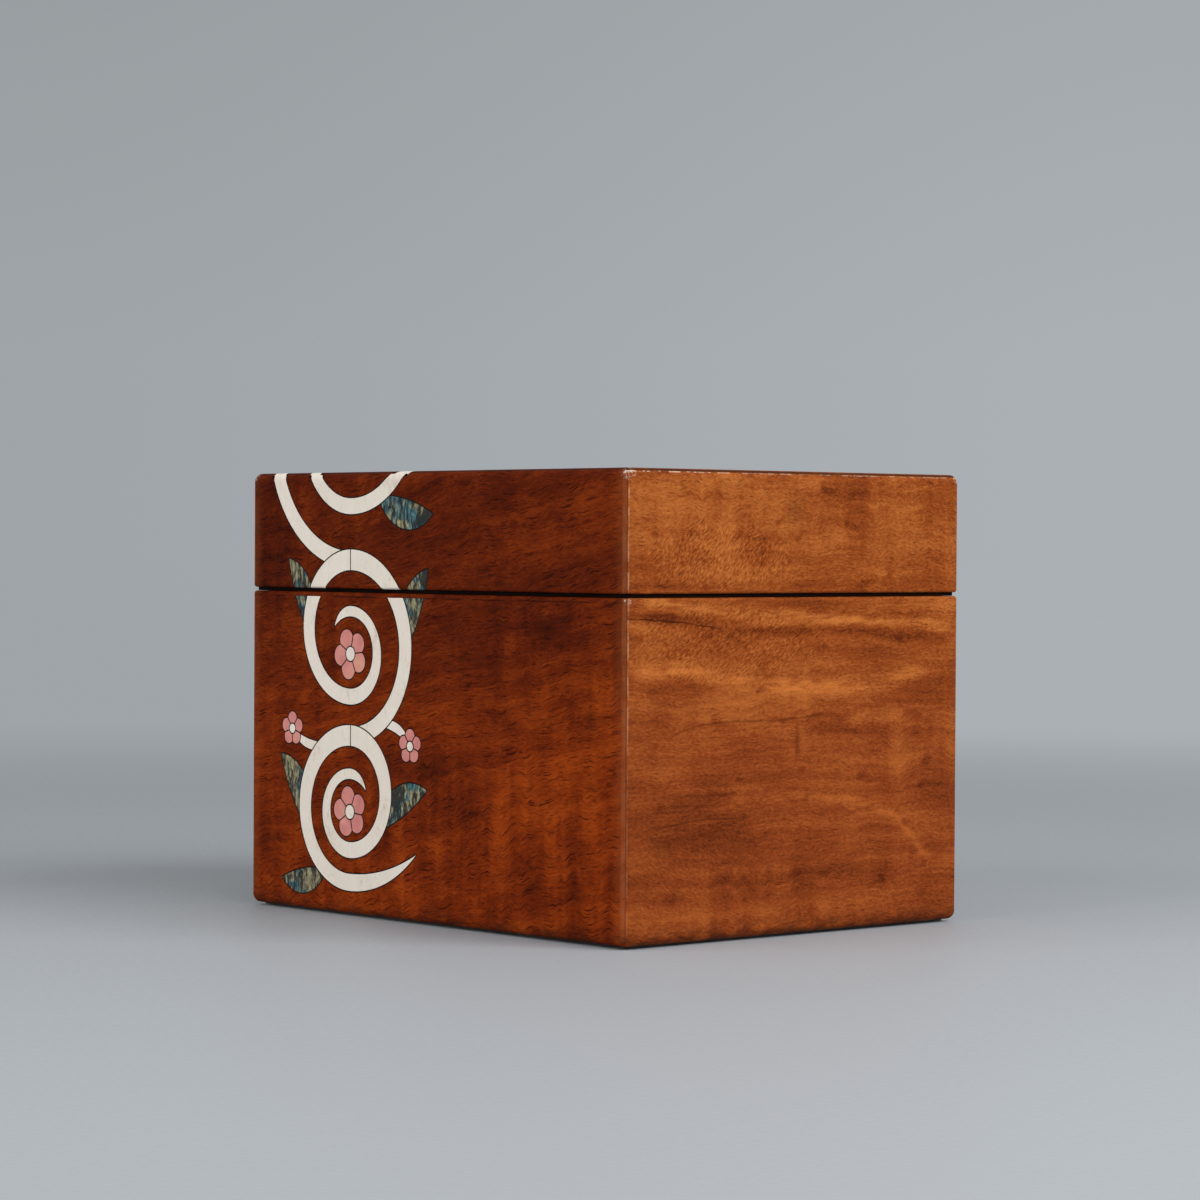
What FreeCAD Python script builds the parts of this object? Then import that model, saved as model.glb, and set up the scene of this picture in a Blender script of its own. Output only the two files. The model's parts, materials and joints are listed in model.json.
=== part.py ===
import FreeCAD, Part
import math
import os
import re

import Sketcher
from FreeCAD import Placement, Rotation, Vector

# A wooden box with a hinged lid and a shell inlay that runs up its front and over the lid.
# Millimetres, +Z up, +X along the inlaid front, +Y from the front to the back.
# The origin is the middle of the felt's underside, on which the box rests.

SIZES = {
    # outer form
    "box_length": 170,
    "box_depth": 130,
    "base_height": 94.8,
    "seam_gap": 0.1,
    "lid_height": 35.1,
    "shadow_height": 1.0,
    "shadow_depth": 1.6,
    "edge_round": 2.5,
    "rim_ease": 0.8,
    "rim_lip": 1.3,
    # boards and panels
    "wall_thickness": 10,
    "sanding_allowance": 1,
    "bottom_thickness": 5,
    "bottom_raise": 5,
    "groove_depth": 4,
    "top_thickness": 6,
    "top_rebate": 5,
    "veneer_thickness": 0.8,
    "panel_play": 0.1,
    "spline_width": 7,
    "spline_thickness": 2,
    "spline_stop": 5,
    "spline_play": 0.05,
    # felt and linings
    "felt_thickness": 0.8,
    "felt_inset": 3,
    "floor_lining_thickness": 2.5,
    "lid_lining_thickness": 2,
    "lining_play": 0.4,
    # hinges
    "hinge_length": 26,
    "hinge_spacing": 100,
    "leaf_thickness": 1.2,
    "leaf_gap": 0.1,
    "leaf_margin": 1.6,
    "leaf_play": 0.1,
    "pin_offset": 0.6,
    "pin_radius": 1.0,
    "pin_fit": 0.01,
    "pin_running": 0.05,
    "knuckle_radius": 2.2,
    "middle_knuckle": 11,
    "knuckle_play": 0.15,
    "stop_reach": 4,
    "stop_sweep": 30,
    "stop_angle": 95,
    "stop_play": 0.4,
    # screws
    "screw_spacing": 15,
    "screw_length": 8,
    "screw_radius": 0.95,
    "screw_head_radius": 1.7,
    "screw_head_rim": 0.15,
    "screw_point": 1.6,
    "screw_slot_width": 0.5,
    "screw_slot_depth": 0.45,
    "screw_play": 0.02,
    # shell inlay
    "shell_thickness": 1.5,
    "mastic_gap": 0.4,
    "scroll_inset": 49,
    "scroll_foot": 10,
    "first_ring": 43,
    "second_rise": 9,
    "second_curl_drop": 31,
    "second_eye_drop": 6,
    "third_reach": 49,
    "third_curl_drop": 10,
    "third_eye_rise": 32,
    "fourth_ring": 46,
    "curl_share": 0.22,
    "eye_share": 0.74,
    "tail_length": 31,
    "tail_rise": 10,
    "blossom_radius": 7.5,
    "bud_radius": 5,
    "bud_reach": 28,
}

BOX_TOP = "(base_height + seam_gap + lid_height)"
LID_RIM = "(base_height + seam_gap)"
SEAM = "(base_height + seam_gap / 2)"
PANEL_TOP = f"({BOX_TOP} - veneer_thickness)"
PANEL_LOW = f"({PANEL_TOP} - top_thickness)"
FLOOR = "(felt_thickness + bottom_raise + bottom_thickness)"
PIN_Y = "(box_depth / 2 + pin_offset)"
LEAF_REACH = "(wall_thickness + pin_offset - leaf_margin)"
SCREW_Y = f"({PIN_Y} - (knuckle_radius + {LEAF_REACH}) / 2)"

ALONG_X = Rotation(Vector(1, 1, 1), 120)
PETALS = 5

doc = FreeCAD.newDocument("inlaid_wooden_box")
sheet = doc.addObject("Spreadsheet::Sheet", "Sizes")
for row, (alias, value) in enumerate(SIZES.items(), start=1):
    sheet.set(f"A{row}", alias)
    sheet.set(f"B{row}", str(value))
    sheet.setAlias(f"B{row}", alias)
doc.recompute()

size = {alias: float(getattr(sheet, alias)) for alias in SIZES}
parts = []


def formula(text):
    """Put the sheet's name before each alias of a formula."""
    return re.sub(r"[a-z_]+", lambda word: f"Sizes.{word[0]}" if word[0] in SIZES else word[0], text)


def bind(thing, **formulas):
    """Bind properties of an object to formulas of the sheet's sizes."""
    for name, text in formulas.items():
        thing.setExpression(name, formula(text))
    return thing


def place(thing, x="0", y="0", z="0", turn=Rotation()):
    """Give an object its place, with each coordinate bound to the sheet."""
    thing.Placement = Placement(Vector(), turn)
    for axis, text in zip("xyz", (x, y, z)):
        thing.setExpression(f"Placement.Base.{axis}", formula(text))
    return thing


def keep(thing, label):
    """Name a finished sub-part and list it for export."""
    thing.Label = label
    parts.append(thing)
    return thing


def block(name, length, width, height, x, y, z):
    box = bind(doc.addObject("Part::Box", name), Length=length, Width=width, Height=height)
    return place(box, x, y, z)


def middle_block(name, length, width, height, z):
    """A block that is centred over the origin."""
    return block(name, length, width, height, f"-({length}) / 2", f"-({width}) / 2", z)


def rod(name, radius, length, x):
    """A cylinder on the hinge axis, centred on x."""
    cylinder = bind(doc.addObject("Part::Cylinder", name), Radius=radius, Height=length)
    return place(cylinder, f"{x} - ({length}) / 2", PIN_Y, SEAM, ALONG_X)


def fuse(name, shapes):
    joined = doc.addObject("Part::MultiFuse", name)
    joined.Shapes = shapes
    return joined


def cut(name, base, tool):
    result = doc.addObject("Part::Cut", name)
    result.Base = base
    result.Tool = tool
    return result


def common(name, base, tool):
    result = doc.addObject("Part::Common", name)
    result.Base = base
    result.Tool = tool
    return result


def group(name, things):
    compound = doc.addObject("Part::Compound", name)
    compound.Links = things
    return compound


def copy_of(name, source, x, y, z, turn=Rotation()):
    link = doc.addObject("App::Link", name)
    link.LinkedObject = source
    return place(link, x, y, z, turn)


# Sketches and the bodies made from them

def new_sketch(body, name, role):
    sketch = body.newObject("Sketcher::SketchObject", name)
    plane = next(item for item in body.Origin.OriginFeatures if item.Role == role)
    sketch.AttachmentSupport = [(plane, "")]
    sketch.MapMode = "FlatFace"
    return sketch


def polygon(sketch, corners):
    """Draw a closed outline whose corners are formulas, measured from the sketch's origin."""
    count = len(corners)
    for index in range(count):
        angle = 2 * math.pi * index / count
        following = 2 * math.pi * (index + 1) / count
        start = Vector(math.cos(angle), math.sin(angle), 0)
        end = Vector(math.cos(following), math.sin(following), 0)
        sketch.addGeometry(Part.LineSegment(start, end))
    for index in range(count):
        sketch.addConstraint(Sketcher.Constraint("Coincident", index, 2, (index + 1) % count, 1))
    for index, corner in enumerate(corners):
        for kind, axis, text in zip(("DistanceX", "DistanceY"), (-2, -1), corner):
            if text == "0":
                sketch.addConstraint(Sketcher.Constraint("PointOnObject", index, 1, axis))
            else:
                number = sketch.addConstraint(Sketcher.Constraint(kind, -1, 1, index, 1, 1.0))
                sketch.setExpression(f"Constraints[{number}]", formula(text))


def rectangle(sketch, left, right, low, high):
    polygon(sketch, [(left, low), (right, low), (right, high), (left, high)])


def padded(name, corners, height, z, turn=0):
    """A body that is one outline raised to a height."""
    body = doc.addObject("PartDesign::Body", name)
    plan = new_sketch(body, f"{name}_plan", "XY_Plane")
    polygon(plan, corners)
    pad = body.newObject("PartDesign::Pad", f"{name}_pad")
    pad.Profile = plan
    bind(pad, Length=height)
    place(body, z=z, turn=Rotation(Vector(0, 0, 1), turn))
    return body


def channel(body, name, left, right, low, high):
    """Plough a groove or a rebate along the whole of a board."""
    section = new_sketch(body, f"{name}_section", "YZ_Plane")
    rectangle(section, left, right, low, high)
    pocket = body.newObject("PartDesign::Pocket", name)
    pocket.Profile = section
    pocket.Type = "ThroughAll"
    pocket.SideType = "Symmetric"


def rounded(body, name, chosen, radius):
    """Round the edges of a body that the chosen test picks."""
    doc.recompute()
    last = body.Tip
    names = [f"Edge{number}" for number, edge in enumerate(last.Shape.Edges, start=1) if chosen(edge)]
    fillet = body.newObject("PartDesign::Fillet", name)
    fillet.Base = (last, names)
    bind(fillet, Radius=radius)
    doc.recompute()


def envelope(name, low, high, rim_up):
    """The outer form of the base or the lid, which its boards are sanded to after glueing."""
    half_x = "box_length / 2"
    half_y = "box_depth / 2"
    corners = [(f"-{half_x}", f"-{half_y}"), (half_x, f"-{half_y}"), (half_x, half_y), (f"-{half_x}", half_y)]
    body = padded(name, corners, f"{high} - {low}", low)
    doc.recompute()
    levels = sorted(vertex.Point.z for vertex in body.Tip.Shape.Vertexes)
    rim = levels[-1] if rim_up else levels[0]

    def off_the_rim(edge):
        return any(abs(vertex.Point.z - rim) > 1e-3 for vertex in edge.Vertexes)

    rounded(body, f"{name}_rounding", off_the_rim, "edge_round")
    rounded(body, f"{name}_easing", lambda edge: not off_the_rim(edge), "rim_ease")
    return body


def mitred_blank(name, run, reach, low, high, turn):
    """A mitred board before sanding, drawn as the front board and turned to its side."""
    long_half = f"({run} / 2 + sanding_allowance)"
    far = f"({reach} / 2 + sanding_allowance)"
    short_half = f"({run} / 2 - wall_thickness)"
    near = f"({reach} / 2 - wall_thickness)"
    corners = [
        (f"-{long_half}", f"-{far}"),
        (long_half, f"-{far}"),
        (short_half, f"-{near}"),
        (f"-{short_half}", f"-{near}"),
    ]
    return padded(name, corners, f"{high} - {low}", low, turn)


# Hinge screws

def screw_form(name, play):
    """The turned form of a countersunk screw, head upwards, with its top at the origin."""
    body = doc.addObject("PartDesign::Body", name)
    profile = new_sketch(body, f"{name}_profile", "XZ_Plane")
    head = f"(screw_head_radius + {play})"
    shank = f"(screw_radius + {play})"
    polygon(profile, [
        ("0", "0"),
        ("0", f"-(screw_length + {play})"),
        (shank, f"-(screw_length + {play} - screw_point)"),
        (shank, "-(screw_head_rim + screw_head_radius - screw_radius)"),
        (head, "-screw_head_rim"),
        (head, "0"),
    ])
    turned = body.newObject("PartDesign::Revolution", f"{name}_turned")
    turned.Profile = profile
    turned.ReferenceAxis = (profile, ["V_Axis"])
    turned.Angle = 360
    return body


screw = screw_form("screw", "0")
slot_plan = new_sketch(screw, "screw_slot_plan", "XY_Plane")
rectangle(slot_plan, "-2 * screw_head_radius", "2 * screw_head_radius",
          "-screw_slot_width / 2", "screw_slot_width / 2")
slot = screw.newObject("PartDesign::Pocket", "screw_slot")
slot.Profile = slot_plan
bind(slot, Length="screw_slot_depth")
screw_hole = screw_form("screw_hole", "screw_play")


def at_screws(name, source, z, turn):
    """Four copies of a screw or of its hole, two for each hinge."""
    copies = []
    for hinge in ("-", "+"):
        for end in ("-", "+"):
            x = f"{hinge}hinge_spacing / 2 {end} screw_spacing / 2"
            copies.append(copy_of(f"{name}_{len(copies) + 1}", source, x, SCREW_Y, z, turn))
    return group(name, copies)


HEAD_UP = Rotation()
HEAD_DOWN = Rotation(Vector(1, 0, 0), 180)
BASE_LEAF_FACE = f"({SEAM} - leaf_gap / 2)"
LID_LEAF_FACE = f"({SEAM} + leaf_gap / 2)"
base_holes = at_screws("base_holes", screw_hole, BASE_LEAF_FACE, HEAD_UP)
lid_holes = at_screws("lid_holes", screw_hole, LID_LEAF_FACE, HEAD_DOWN)
keep(at_screws("base_screws", screw, BASE_LEAF_FACE, HEAD_UP), "hinge_base_screws")
keep(at_screws("lid_screws", screw, LID_LEAF_FACE, HEAD_DOWN), "hinge_lid_screws")


# Hinges, whose stop bars behind the knuckles meet when the lid is fully open

def stop_bar(name, x, upward):
    """A bar behind the knuckles, above the pin on the lid leaf and below it on the base leaf."""
    bar = doc.addObject("Part::Cylinder", name)
    bind(bar, Radius="stop_reach", Height="hinge_length", Angle="stop_sweep")
    start = size["stop_angle"] / 2 + size["stop_play"]
    turn = start if upward else -start - size["stop_sweep"]
    return place(bar, f"{x} - hinge_length / 2", PIN_Y, SEAM, Rotation(Vector(1, 0, 0), turn) * ALONG_X)


def leaf_plate(name, x, play, low, height):
    """The flat of a leaf, or with play the mortise for it."""
    return block(name, f"hinge_length + 2 * {play}", f"{LEAF_REACH} + {play}", height,
                 f"{x} - hinge_length / 2 - {play}", f"{PIN_Y} - {LEAF_REACH} - {play}", low)


def outer_rods(name, radius, x, play):
    """A pair of rods on the hinge axis, on both sides of the middle knuckle."""
    length = f"((hinge_length - middle_knuckle) / 2 - {play})"
    shift = f"((hinge_length - {length}) / 2)"
    return [rod(f"{name}_{end}", radius, length, f"{x} {sign} {shift}") for end, sign in zip("ab", "-+")]


def hinge_leaf(name, x, low, upward, spaces, knuckles, bore, holes):
    """A plate with a stop bar, cleared for the other leaf, given its knuckles and drilled."""
    plate = leaf_plate(f"{name}_plate", x, "0", low, "leaf_thickness")
    flat = fuse(f"{name}_flat", [plate, stop_bar(f"{name}_stop", x, upward)])
    cleared = cut(f"{name}_cleared", flat, group(f"{name}_spaces", spaces))
    knuckled = fuse(f"{name}_knuckled", [cleared] + knuckles)
    bored = cut(f"{name}_bored", knuckled, rod(f"{name}_bore", bore, "2 * hinge_length", x))
    keep(cut(name, bored, holes), f"hinge_{name}")


BASE_LEAF_LOW = f"({BASE_LEAF_FACE} - leaf_thickness)"
KNUCKLE_SPACE = "knuckle_radius + knuckle_play"
MIDDLE_SPACE = "middle_knuckle + 2 * knuckle_play"
MORTISE_HEIGHT = "leaf_thickness + leaf_gap / 2 + seam_gap"

base_mortises = [base_holes]
lid_mortises = [lid_holes]
for side, x in (("left", "-hinge_spacing / 2"), ("right", "hinge_spacing / 2")):
    hinge_leaf(f"{side}_base_leaf", x, BASE_LEAF_LOW, False,
               [rod(f"{side}_middle_space", KNUCKLE_SPACE, MIDDLE_SPACE, x)],
               outer_rods(f"{side}_outer_knuckle", "knuckle_radius", x, "knuckle_play"),
               "pin_radius + pin_fit", base_holes)
    hinge_leaf(f"{side}_lid_leaf", x, LID_LEAF_FACE, True,
               outer_rods(f"{side}_outer_space", KNUCKLE_SPACE, x, "0"),
               [rod(f"{side}_middle_knuckle", "knuckle_radius", "middle_knuckle", x)],
               "pin_radius + pin_running", lid_holes)
    keep(rod(f"{side}_pin", "pin_radius", "hinge_length", x), f"hinge_{side}_pin")

    barrel = rod(f"{side}_barrel_space", KNUCKLE_SPACE, "hinge_length + 2 * leaf_play", x)
    base_plate = leaf_plate(f"{side}_base_mortise", x, "leaf_play", BASE_LEAF_LOW, MORTISE_HEIGHT)
    lid_plate = leaf_plate(f"{side}_lid_mortise", x, "leaf_play", f"{SEAM} - seam_gap", MORTISE_HEIGHT)
    base_mortises += [barrel, base_plate]
    lid_mortises += [barrel, lid_plate]


# Outer forms, with a shadow line cut round the rim of the lid, and the splines in the corner mitres

base_form = envelope("base_form", "felt_thickness", "base_height", True)
lid_outside = envelope("lid_outside", f"({LID_RIM} + shadow_height)", BOX_TOP, False)
lid_tongue = middle_block("lid_tongue", "box_length - 2 * shadow_depth", "box_depth - 2 * shadow_depth",
                          "lid_height / 2", LID_RIM)
lid_form = fuse("lid_form", [lid_outside, lid_tongue])


MITRE_X = "(box_length - wall_thickness) / 2"
MITRE_Y = "(box_depth - wall_thickness) / 2"


def splines(name, low, high, play):
    """Upright tongues across the four corner mitres, or with play the slots for them."""
    half_width = f"(spline_width / 2 + {play})"
    half_thickness = f"(spline_thickness / 2 + {play})"
    tongues = []
    for index, (sign_x, sign_y) in enumerate(((-1, -1), (1, -1), (1, 1), (-1, 1)), start=1):
        lean = -sign_x * sign_y
        tongue = doc.addObject("Part::Box", f"{name}_{index}")
        bind(tongue, Length=f"2 * {half_width}", Width=f"2 * {half_thickness}")
        bind(tongue, Height=f"{high} - ({low}) + 2 * {play}")
        place(tongue,
              f"{sign_x} * {MITRE_X} - ({half_width} - {lean} * {half_thickness}) / sqrt(2)",
              f"{sign_y} * {MITRE_Y} - ({lean} * {half_width} + {half_thickness}) / sqrt(2)",
              f"{low} - {play}", Rotation(Vector(0, 0, 1), 45 * lean))
        tongues.append(tongue)
    return group(name, tongues)


BASE_SPLINE = (f"{FLOOR} + spline_play", "base_height - spline_stop")
LID_SPLINE = (f"{LID_RIM} + spline_stop", f"{PANEL_LOW} - spline_thickness")
keep(splines("base_splines", *BASE_SPLINE, "0"), "base_corner_splines")
keep(splines("lid_splines", *LID_SPLINE, "0"), "lid_corner_splines")
base_slots = splines("base_slots", *BASE_SPLINE, "spline_play")
lid_slots = splines("lid_slots", *LID_SPLINE, "spline_play")
doc.recompute()


# Shell inlay, drawn on the front unrolled with the lid top: x along the box, then the way up

shells = []
pockets = []


def point(x, up):
    return Vector(x, up, 0)


def segment(start, end):
    return Part.LineSegment(start, end).toShape()


def bow(start, end, rise):
    """An arc between two points that stands off their line by a rise to the left."""
    along = (end - start).normalize()
    aside = Vector(-along.y, along.x, 0)
    return Part.Arc(start, (start + end) / 2 + aside * rise, end).toShape()


def half_turn(start, end, side):
    """A half circle between two points of the upright scroll axis."""
    radius = abs(end.y - start.y) / 2
    return Part.Arc(start, (start + end) / 2 + Vector(side * radius, 0, 0), end).toShape()


def level_arc(start, tip):
    """An arc that leaves a point level and ends at a tip."""
    way = tip - start
    centre = start + Vector(0, way.dot(way) / (2 * way.y), 0)
    middle = (start - centre + tip - centre).normalize()
    return Part.Arc(start, centre + middle * (start - centre).Length, tip).toShape()


def flat(edges):
    return Part.Face(Part.Wire(Part.__sortEdges__(edges)))


def disc(centre, radius):
    return Part.Face(Part.Wire(Part.makeCircle(radius, centre)))


def pocket_of(face):
    return face.makeOffset2D(size["mastic_gap"])


def lay(kind, face):
    """Trim a shell to those laid before it, less the mastic line, and note its pocket."""
    trimmed = face.cut(pockets) if pockets else face
    piece = max(trimmed.Faces, key=lambda part: part.Area)
    shells.append((kind, [piece]))
    pockets.append(pocket_of(piece))


def lay_blossom(name, centres, middle, radius, turn):
    """Five round petals about a round centre, all set in one pocket."""
    petal_radius = 0.41 * radius
    petal_reach = 0.59 * radius
    centre_radius = 0.27 * radius
    gap = size["mastic_gap"]
    rounds = []
    spokes = []
    for index in range(PETALS):
        angle = math.radians(turn + 360 * index / PETALS)
        between = angle + math.pi / PETALS
        rounds.append(disc(middle + point(math.cos(angle), math.sin(angle)) * petal_reach, petal_radius))
        way = point(math.cos(between), math.sin(between))
        aside = point(-math.sin(between), math.cos(between)) * gap / 2
        end = middle + way * radius
        corners = [middle - aside, end - aside, end + aside, middle + aside]
        spokes.append(Part.Face(Part.makePolygon(corners + corners[:1])))
    centre = disc(middle, centre_radius)
    whole = centre.fuse(rounds).removeSplitter().Faces[0]
    petals = whole.cut([disc(middle, centre_radius + gap)] + spokes)
    shells.append((name, petals.Faces))
    shells.append((centres, [centre]))
    pockets.append(pocket_of(whole))


def band(axis, stations, first, side, tail=None, hook=None):
    """A tapering stem of half turns about the axis; stations are heights and widths on the axis."""
    outer = []
    inner = []
    for number, (height, width) in enumerate(stations, start=first):
        out = -width / 2 if number % 2 == 0 else width / 2
        outer.append(point(axis, height + out))
        inner.append(point(axis, height - out))
    edges = []
    for number in range(len(stations) - 1):
        way = side if (first + number) % 2 == 0 else -side
        edges.append(half_turn(outer[number], outer[number + 1], way))
        edges.append(half_turn(inner[number], inner[number + 1], way))
    for end, tip in ((0, tail), (-1, hook)):
        if tip is None:
            edges.append(segment(outer[end], inner[end]))
        else:
            edges += [level_arc(outer[end], tip), level_arc(inner[end], tip)]
    return flat(edges)


def leaf(start, end, turn):
    """A bowed almond between two points."""
    length = (end - start).Length
    return flat([bow(start, end, turn * 0.27 * length), bow(start, end, -turn * 0.06 * length)])


def on_ring(axis, low, high, degrees, reach=0):
    """A point at an angle on a ring of the scroll, or outside it by a reach."""
    angle = math.radians(degrees)
    radius = (high - low) / 2 + reach
    return point(axis + radius * math.cos(angle), (low + high) / 2 + radius * math.sin(angle))


def curl_of(low, ring):
    """The curl bottom and the eye top of a scroll that keeps the usual shares of its ring."""
    return low + size["curl_share"] * ring, low + size["eye_share"] * ring


axis = -size["box_length"] / 2 + size["scroll_inset"]
seam = size["base_height"] + (size["seam_gap"] + size["shadow_height"]) / 2
fold = size["base_height"] + size["seam_gap"] + size["lid_height"]

# Heights at which each scroll crosses its axis: start, ring top, curl bottom, eye top
foot = size["scroll_foot"]
first_top = foot + size["first_ring"]
second_top = seam + size["second_rise"]
third_top = fold + size["third_reach"]
fourth_top = third_top + size["fourth_ring"]
SCROLLS = [
    (foot, first_top, *curl_of(foot, size["first_ring"])),
    (first_top, second_top, seam - size["second_curl_drop"], seam - size["second_eye_drop"]),
    (second_top, third_top, fold - size["third_curl_drop"], fold + size["third_eye_rise"]),
    (third_top, fourth_top, *curl_of(third_top, size["fourth_ring"])),
]
STEM_WIDTHS = (5.0, 6.0)
CURL_WIDTHS = (6.0, 4.6, 3.0)

for number, (low, top, curl, eye) in enumerate(SCROLLS, start=1):
    lay_blossom(f"blossom_{number}", "blossom_centres", point(axis, (curl + eye) / 2),
                size["blossom_radius"], 90 + 12 * number)

for number, (low, top, curl, eye) in enumerate(SCROLLS, start=1):
    side = -1 if number % 2 else 1
    tail = point(axis - side * size["tail_length"], low + size["tail_rise"]) if number == 1 else None
    lay(f"scroll_{number}_stem", band(axis, list(zip((low, top), STEM_WIDTHS)), 0, side, tail=tail))
    hook = point(axis - side * size["blossom_radius"], eye - size["blossom_radius"] * 0.6)
    lay(f"scroll_{number}_curl", band(axis, list(zip((top, curl, eye), CURL_WIDTHS)), 1, side, hook=hook))

# Buds beside the meeting of the first two scrolls, and where their tendrils leave the stems
BUDS = [
    (point(axis - size["bud_reach"], first_top + 1), on_ring(axis, foot, first_top, 118)),
    (point(axis + size["bud_reach"], first_top - 2), on_ring(axis, first_top, second_top, -60)),
]
for number, (middle, start) in enumerate(BUDS, start=1):
    lay_blossom(f"bud_{number}", "blossom_centres", middle, size["bud_radius"], 90)
for number, (middle, start) in enumerate(BUDS, start=1):
    lay(f"tendril_{number}", flat([bow(start, middle, 4.0), bow(start, middle, 1.2)]))

# Leaves: ring bottom and top, angle where each leaves the stem, angle and reach of its tip, turn
LEAVES = [
    (foot, first_top, 200, 156, 15, -1),
    (foot, first_top, 238, 214, 18, 1),
    (SCROLLS[0][2], first_top, -38, 4, 19, 1),
    (first_top, second_top, -2, 33, 17, 1),
    (SCROLLS[1][2], second_top, 186, 146, 16, -1),
    (SCROLLS[2][2], third_top, -64, -40, 20, -1),
    (SCROLLS[2][2], third_top, -26, 6, 17, 1),
    (second_top, third_top, 152, 128, 16, -1),
    (SCROLLS[2][2], third_top, 44, 24, 20, -1),
    (third_top, fourth_top, 24, 52, 16, 1),
    (SCROLLS[3][2], fourth_top, 206, 170, 17, -1),
]
for low, top, angle, tip_angle, reach, turn in LEAVES:
    lay("leaves", leaf(on_ring(axis, low, top, angle), on_ring(axis, low, top, tip_angle, reach), turn))


# Shells and pockets carried to the front and folded over the lid's front edge

FRONT = Placement(Vector(0, -size["box_depth"] / 2, 0), Rotation(Vector(1, 0, 0), 90))
TOP = Placement(Vector(0, -size["box_depth"] / 2 - fold, fold), Rotation())
INWARD = Vector(0, 0, -size["shell_thickness"])


def carried(face, where):
    solid = face.extrude(INWARD)
    solid.Placement = where.multiply(solid.Placement)
    return solid


def fold_wedge():
    """All that lies before the mitre plane through the lid's front top edge."""
    front = -size["box_depth"] / 2
    drop = size["lid_height"] + size["edge_round"]
    left = -size["box_length"]
    corners = [Vector(left, front - 5, fold + 5), Vector(left, front + drop, fold - drop),
               Vector(left, front - 5, fold - drop)]
    return Part.Face(Part.makePolygon(corners + corners[:1])).extrude(Vector(2 * size["box_length"], 0, 0))


def under_lip():
    """All that lies below the plain lip at the rim of the base."""
    length = 2 * size["box_length"]
    depth = 2 * size["box_depth"]
    height = size["base_height"] - size["rim_lip"]
    return Part.makeBox(length, depth, height, Vector(-length / 2, -depth / 2, 0))


wedge = fold_wedge()
below = under_lip()
ZONES = {
    "base": (FRONT, base_form.Shape.common(below)),
    "lid_front": (FRONT, lid_outside.Shape.common(wedge)),
    "lid_top": (TOP, lid_outside.Shape.cut(wedge)),
}


def recess(name, where, reaches, within=None):
    """All the pockets that reach one face, joined to one cutter."""
    solids = [carried(face, where) for face in pockets if reaches(face.BoundBox)]
    joined = solids[0].fuse(solids[1:]).removeSplitter()
    tool = doc.addObject("Part::Feature", name)
    tool.Shape = joined.common(within) if within else joined
    return tool


base_recess = recess("base_recess", FRONT, lambda box: box.YMin < seam, below)
lid_recess = recess("lid_recess", FRONT, lambda box: box.YMax > seam and box.YMin < fold)
top_recess = recess("top_recess", TOP, lambda box: box.YMax > fold)
recesses = {"base": base_recess, "lid_front": lid_recess, "lid_top": top_recess}


def keep_shape(label, solids):
    """Keep solids that are set by a shape, as one named sub-part."""
    thing = doc.addObject("Part::Feature", label)
    thing.Shape = solids[0] if len(solids) == 1 else Part.makeCompound(solids)
    keep(thing, label)


for zone, (where, form) in ZONES.items():
    laid = {}
    for kind, faces in shells:
        for face in faces:
            laid.setdefault(kind, []).extend(carried(face, where).common(form).Solids)
    laid = {kind: solids for kind, solids in laid.items() if solids}
    for kind, solids in laid.items():
        keep_shape(f"{zone}_{kind}", solids)
    filled = recesses[zone].Shape.common(form)
    keep_shape(f"{zone}_mastic", filled.cut([solid for solids in laid.values() for solid in solids]).Solids)


# Boards of the base and rails of the lid

SIDES = [
    ("front", "box_length", "box_depth", 0),
    ("right", "box_depth", "box_length", 90),
    ("back", "box_length", "box_depth", 180),
    ("left", "box_depth", "box_length", 270),
]
base_cutters = {
    "front": [base_slots, base_recess],
    "back": [base_slots] + base_mortises,
}
lid_cutters = {
    "front": [lid_slots, lid_recess, top_recess],
    "back": [lid_slots] + lid_mortises,
}
for side, run, reach, turn in SIDES:
    inner = f"-({reach} / 2 - wall_thickness)"
    low = "(felt_thickness - sanding_allowance)"
    blank = mitred_blank(f"base_{side}_blank", run, reach, low, "(base_height + sanding_allowance)", turn)
    channel(blank, f"base_{side}_groove", f"{inner} - groove_depth - panel_play", f"{inner} + 1",
            "sanding_allowance + bottom_raise", "sanding_allowance + bottom_raise + bottom_thickness")
    sanded = common(f"base_{side}_sanded", blank, base_form)
    tools = base_cutters.get(side, [base_slots])
    tool = fuse(f"base_{side}_cutter", tools) if len(tools) > 1 else tools[0]
    keep(cut(f"base_{side}_board", sanded, tool), f"base_{side}_board")

    low = f"({LID_RIM} - sanding_allowance)"
    high = f"({BOX_TOP} + sanding_allowance)" if side == "front" else PANEL_TOP
    blank = mitred_blank(f"lid_{side}_blank", run, reach, low, high, turn)
    channel(blank, f"lid_{side}_rebate", f"{inner} - top_rebate", f"{inner} + 1",
            f"{PANEL_LOW} - {low}", f"{BOX_TOP} - {low} + 5")
    sanded = common(f"lid_{side}_sanded", blank, lid_form)
    tools = lid_cutters.get(side, [lid_slots])
    tool = fuse(f"lid_{side}_cutter", tools) if len(tools) > 1 else tools[0]
    keep(cut(f"lid_{side}_rail", sanded, tool), f"lid_{side}_rail")


# Panels, veneer, felt and linings

def inside(extent, more):
    """An inner length of the box, made longer at both ends."""
    return f"({extent} - 2 * wall_thickness + 2 * ({more}))"


keep(middle_block("bottom", inside("box_length", "groove_depth"), inside("box_depth", "groove_depth"),
                  "bottom_thickness", "felt_thickness + bottom_raise"), "bottom_panel")
top_length = inside("box_length", "top_rebate - panel_play")
top_depth = inside("box_depth", "top_rebate - panel_play")
top_blank = middle_block("top_blank", top_length, top_depth, "top_thickness", PANEL_LOW)
keep(cut("top_panel", top_blank, top_recess), "lid_top_panel")

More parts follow.
